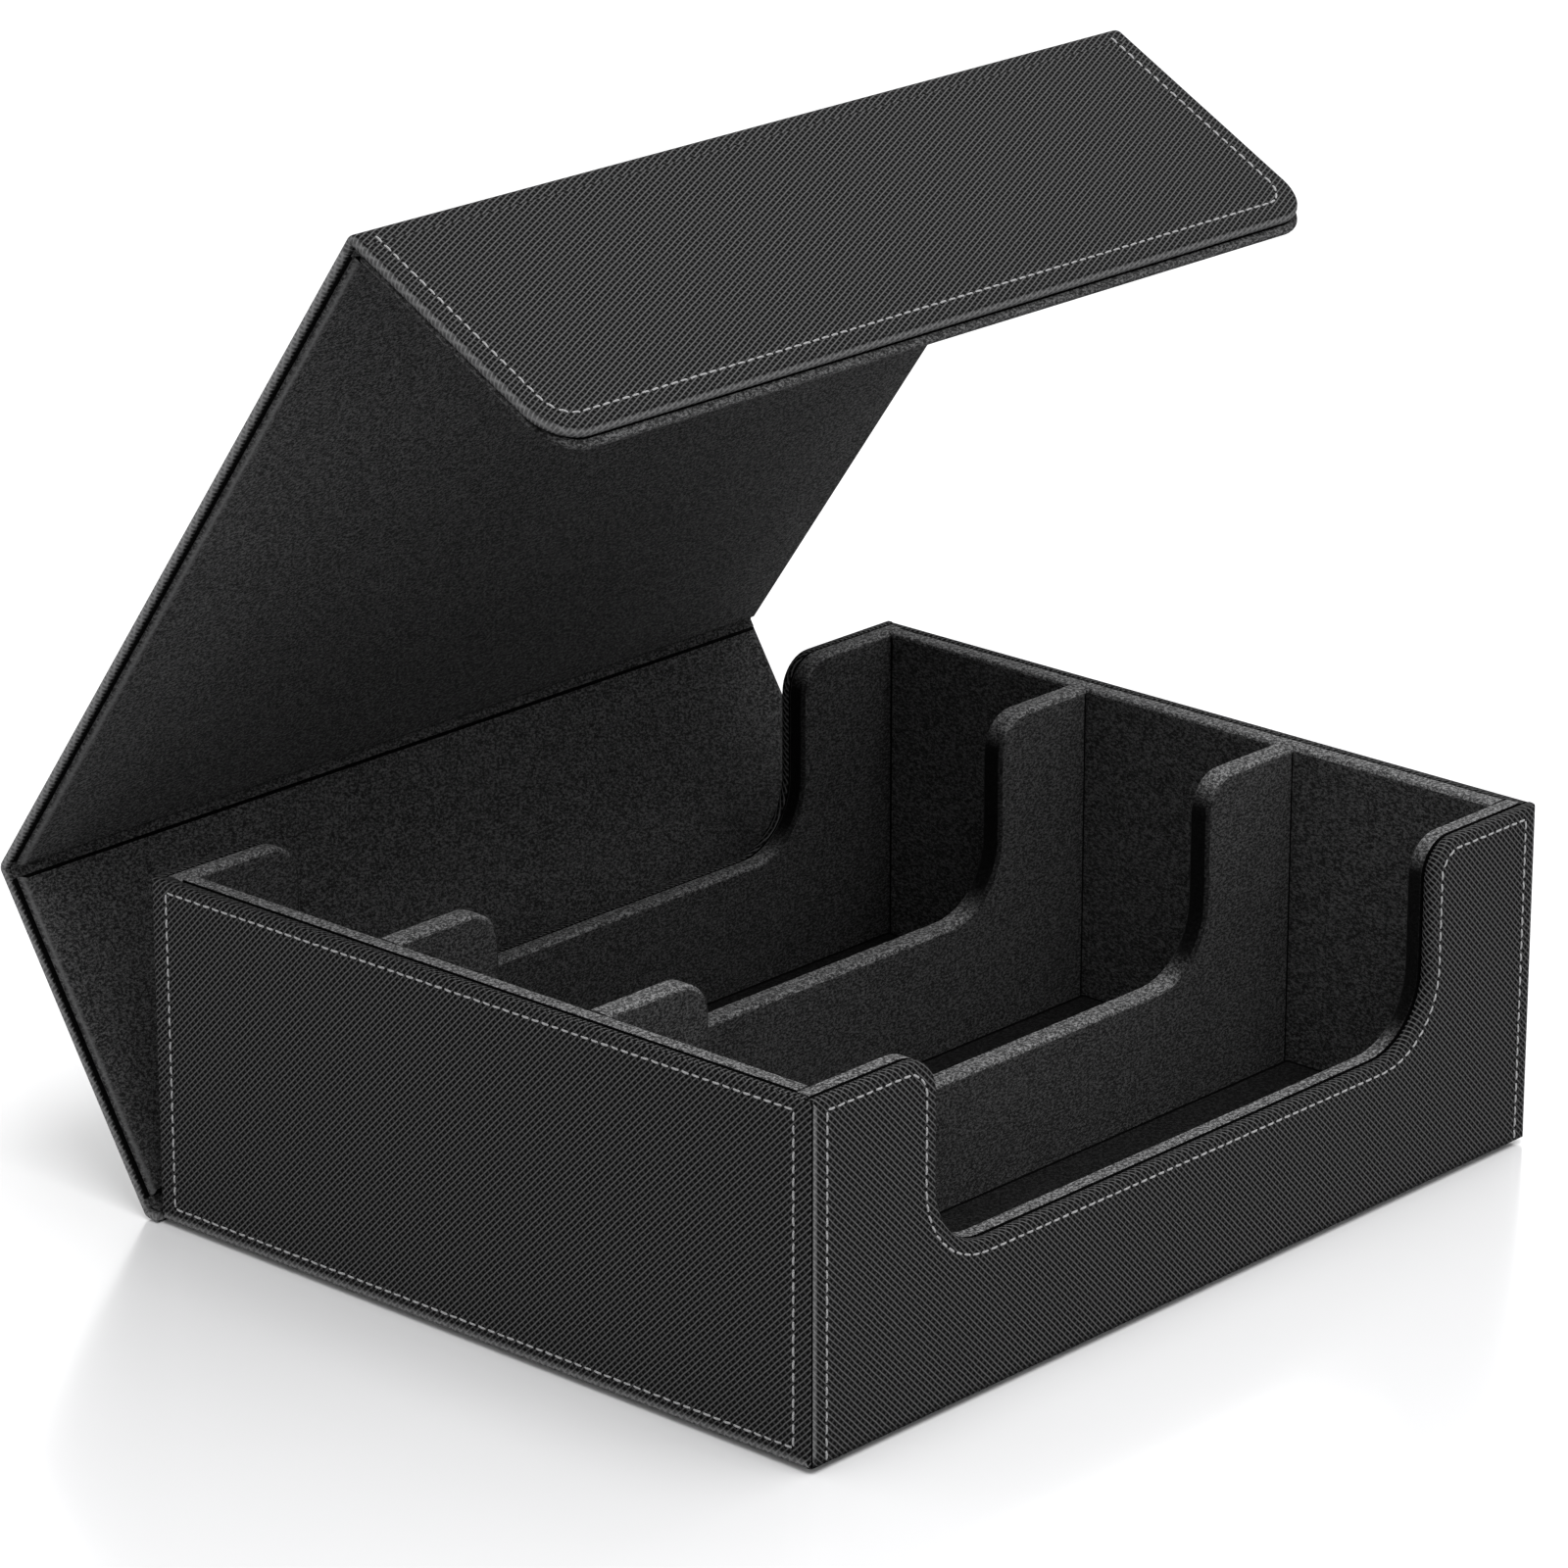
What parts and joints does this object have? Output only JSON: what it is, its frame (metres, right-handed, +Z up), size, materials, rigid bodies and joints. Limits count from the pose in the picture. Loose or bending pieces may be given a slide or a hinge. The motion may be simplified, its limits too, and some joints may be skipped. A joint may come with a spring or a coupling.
{
  "type": "card deck box",
  "caption": "Felt-lined leather-covered box with card rows, dipped walls and dividers, and a fold-over magnetic cover hinged at the back.",
  "frame": {"origin": "centre of the underside of the tray, where it stands on a table", "axes": "+Z up; +X along the card rows, to the right seen from the front; -Y is the front with the flap; the cover is hinged at +Y"},
  "size_m": [0.303, 0.302, 0.2956],
  "materials": {
    "leather": "satin, fine diagonal rib",
    "felt": "matte microfibre",
    "board": "raw fibreboard",
    "steel": "plated"
  },
  "bodies": {
    "tray": {"front_wall_leather": "leather", "front_wall_backing": "board", "front_wall_core": "board", "front_wall_felt": "felt", "right_wall_leather": "leather", "right_wall_backing": "board", "right_wall_core": "board", "right_wall_felt": "felt", "back_wall_leather": "leather", "back_wall_backing": "board", "back_wall_core": "board", "back_wall_felt": "felt", "left_wall_leather": "leather", "left_wall_backing": "board", "left_wall_core": "board", "left_wall_felt": "felt", "catch_plate_left": "steel", "catch_plate_right": "steel", "base_leather": "leather", "base_board": "board", "floor_core": "board", "floor_felt_1": "felt", "floor_felt_2": "felt", "floor_felt_3": "felt", "divider_1_core": "board", "divider_1_felt": "felt", "divider_2_core": "board", "divider_2_felt": "felt", "bottom_fold_leather": "leather", "bottom_fold_felt": "felt"},
    "cover_back": {"cover_back_leather": "leather", "cover_back_board": "board", "cover_back_felt": "felt", "rear_fold_leather": "leather", "rear_fold_felt": "felt"},
    "cover_top": {"cover_top_leather": "leather", "cover_top_board": "board", "cover_top_felt": "felt", "front_fold_leather": "leather", "front_fold_felt": "felt"},
    "cover_flap": {"cover_flap_leather": "leather", "cover_flap_board": "board", "cover_flap_felt": "felt", "magnet_left": "steel", "magnet_right": "steel"}
  },
  "joints": [
    {"name": "bottom_fold", "type": "hinge", "parent": "tray", "child": "cover_back", "pos_m": [0, 0.1243, 0.0028], "axis": [-1, 0, 0], "range_deg": [-32, 58]},
    {"name": "rear_fold", "type": "hinge", "parent": "cover_back", "child": "cover_top", "pos_m": [0, 0.17835, 0.0893], "axis": [-1, 0, 0], "range_deg": [-23, 67]},
    {"name": "front_fold", "type": "hinge", "parent": "cover_top", "child": "cover_flap", "pos_m": [0, 0.03576, 0.29294], "axis": [-1, 0, 0], "range_deg": [-6.5, 83.5]}
  ]
}
